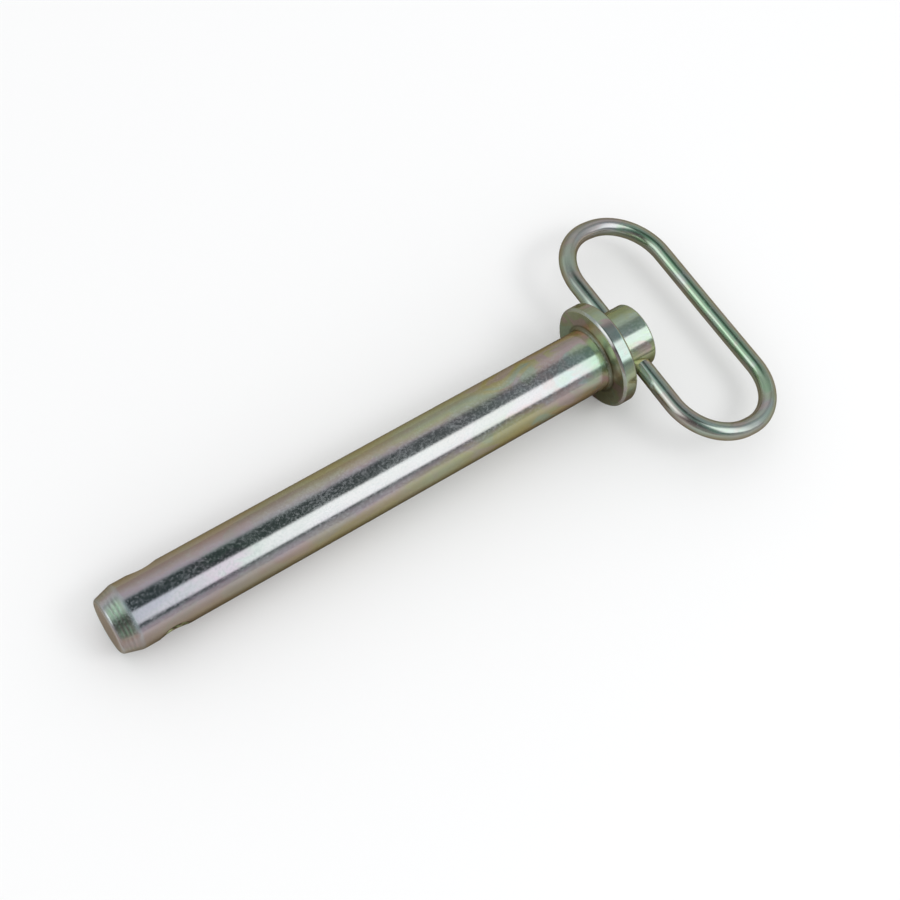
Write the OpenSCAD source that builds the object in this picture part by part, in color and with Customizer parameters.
// Hitch pin with a swinging wire handle.
// The pin lies along X: its tip points to -X and its head to +X. Y runs along
// the handle's cross hole and Z is up. The origin is the centre of the
// collar's bearing face, on the pin's axis. Millimetres.

/* [Bar] */
// Diameter of the shank, the part that carries the load
bar_d = 22.2; // [20:0.1:25.4]
// How much larger in diameter the head is than the shank
head_extra = 0.6; // [0.4:0.1:1]
// Length of the shank from the collar's bearing face to the tip's end face
shank_len = 184.4; // [120:0.2:230]
// Length of the head behind the collar
head_len = 13.5; // [12.5:0.1:20]
// Bevel around the head's end face
head_edge = 0.6; // [0.3:0.1:1]

/* [Tip] */
// Length of the tapered lead at the tip
tip_len = 6.5; // [4:0.1:10]
// Diameter of the tip's end face, before its bevel
tip_face_d = 18.4; // [14:0.1:19]
// Bevel between the end face and the taper
tip_edge = 0.4; // [0.2:0.1:0.6]

/* [Clip hole] */
// Diameter of the hole that takes the retaining clip
clip_hole_d = 8.4; // [5:0.1:10]
// Distance of the clip hole's axis from the tip's end face
clip_hole_from_tip = 17.3; // [17:0.1:30]
// Width of the countersink at each mouth of the clip hole
clip_hole_sink = 1.2; // [0.4:0.1:1.4]
// Angle of the clip hole about the pin, from the handle's hole
clip_hole_turn = 14; // [0:1:90]

/* [Collar] */
// Outer diameter of the collar
collar_d = 37; // [32:0.5:44]
// Thickness of the collar
collar_t = 5.7; // [4:0.1:8]
// Bevel along both edges of the rim
collar_edge = 0.7; // [0.3:0.1:1.5]
// Size of the conical fillet between the shank and the collar's bearing face
root_fillet = 1.1; // [0.8:0.1:1.6]
// Radial interference of the collar on the bar
press = 0.02; // [0.01:0.01:0.03]

/* [Handle] */
// Diameter of the handle's wire
wire_d = 6.3; // [5:0.1:6.8]
// Radial clearance of the wire in the head's cross hole
handle_play = 0.1; // [0.05:0.01:0.1]
// Overall length of the handle, across the pin
handle_len = 99; // [90:0.5:120]
// Overall width of the handle, from the cross hole outwards
handle_w = 46.7; // [44:0.1:60]
// Radius of the handle's four bends, on the wire's centre line
bend_r = 19.4; // [12:0.1:21]
// Shift of the handle along its hole, towards +Y
handle_shift = -1.4; // [-1.5:0.1:1.5]
// How far the handle hangs below the pin's axis at rest, in degrees
handle_drop = 12.5; // [-60:0.5:60]
// Gap between the wire's two ends, inside the head
end_gap = 4; // [1:0.5:6]
// Distance of the cross hole's axis behind the collar
hole_back = 7.9; // [7:0.1:8.4]
// Bevel at each mouth of the cross hole
hole_edge = 0.3; // [0.1:0.1:0.4]

/* [Hidden] */
$fn = 96;

// Bar
bar_r = bar_d / 2;
head_step = head_extra / 2;
head_r = bar_r + head_step;
head_end = collar_t + head_len;
step_x = head_step - root_fillet;                  // top of the bar's 45 degree step
tip_face_r = tip_face_d / 2;
taper_slope = (bar_r - tip_face_r) / tip_len;

// Holes
clip_hole_x = -shank_len + clip_hole_from_tip;
cross_hole_x = collar_t + hole_back;
drill_over = 2;                                    // drill past the bar, each side
sink_over = 1;                                     // countersink past the bar

// Collar
collar_r = collar_d / 2;
bore_r = head_r - press;

// Handle, on the wire's centre line
wire_r = wire_d / 2;
wire_end_edge = 0.6;                               // bevel on each end of the wire
min_side_run = 1;                                  // least straight wire between bends
loop_half = (handle_len - wire_d) / 2;             // from the middle, along Y
loop_w = handle_w - wire_d;                        // outwards from the cross hole
loop_r = min(bend_r, (loop_w - min_side_run) / 2);
run_end = loop_half - loop_r;                      // Y where the bends start

// Turns a profile drawn as [radius, position along X] into a solid about X
module turned() {
    rotate([0, 90, 0]) rotate_extrude() children();
}

// A hole along Y at pos_x, turned about the pin, with a 45 degree
// countersink where it comes out of a round bar of radius around_r
module cross_drilling(pos_x, hole_r, around_r, sink, turn = 0) {
    translate([pos_x, 0, 0]) rotate([turn, 0, 0]) rotate([90, 0, 0]) {
        cylinder(r = hole_r, h = 2 * (around_r + drill_over), center = true);
        for (side = [0, 1])
            mirror([0, 0, side])
                translate([0, 0, around_r - sink])
                    cylinder(
                        r1 = hole_r,
                        r2 = hole_r + sink + sink_over,
                        h = sink + sink_over
                    );
    }
}

// Round bar: tapered tip, shank, the step the collar sits on, and the head
module pin_bar() {
    color("darkkhaki") difference() {
        turned() polygon([
            [0, -shank_len],
            [tip_face_r - tip_edge, -shank_len],
            [tip_face_r + tip_edge * taper_slope, -shank_len + tip_edge],
            [bar_r, -shank_len + tip_len],
            [bar_r, -root_fillet],
            [head_r, step_x],
            [head_r, head_end - head_edge],
            [head_r - head_edge, head_end],
            [0, head_end]
        ]);
        cross_drilling(clip_hole_x, clip_hole_d / 2, bar_r, clip_hole_sink, clip_hole_turn);
        cross_drilling(cross_hole_x, wire_r + handle_play, head_r, hole_edge);
    }
}

// Ring on the bar's step: its flat face towards the tip takes the load, and
// the small cone at its bore closes the corner against the shank
module collar() {
    color("olivedrab") turned() polygon([
        [bore_r, step_x],
        [head_r, step_x],
        [bar_r + root_fillet, 0],
        [collar_r - collar_edge, 0],
        [collar_r, collar_edge],
        [collar_r, collar_t - collar_edge],
        [collar_r - collar_edge, collar_t],
        [bore_r, collar_t]
    ]);
}

// Straight wire along Y between two positions, at a distance outwards
module straight_run(out, from_y, to_y) {
    translate([out, from_y, 0]) rotate([-90, 0, 0])
        cylinder(r = wire_r, h = to_y - from_y);
}

// Quarter bend of the +Y side, its centre at a distance outwards
module bend(out, start_angle) {
    translate([out, run_end, 0]) rotate([0, 0, start_angle])
        rotate_extrude(angle = 90) translate([loop_r, 0]) circle(r = wire_r);
}

// The handle's +Y side, from the wire's bevelled end to the outer bend.
// X points outwards and the cross hole's axis is Y.
module half_handle() {
    translate([0, end_gap / 2, 0]) rotate([-90, 0, 0])
        cylinder(r1 = wire_r - wire_end_edge, r2 = wire_r, h = wire_end_edge);
    straight_run(0, end_gap / 2 + wire_end_edge, run_end);
    bend(loop_r, 90);
    translate([loop_r, loop_half, 0]) rotate([0, 90, 0])
        cylinder(r = wire_r, h = loop_w - 2 * loop_r);
    bend(loop_w - loop_r, 0);
}

// Wire handle: one rod bent into a long ring, whose two ends face each other
// in the head's cross hole, where it turns
module handle() {
    color("darkseagreen")
        translate([cross_hole_x, handle_shift, 0]) rotate([0, handle_drop, 0]) {
            half_handle();
            mirror([0, 1, 0]) half_handle();
            straight_run(loop_w, -run_end, run_end);
        }
}

pin_bar();
collar();
handle();
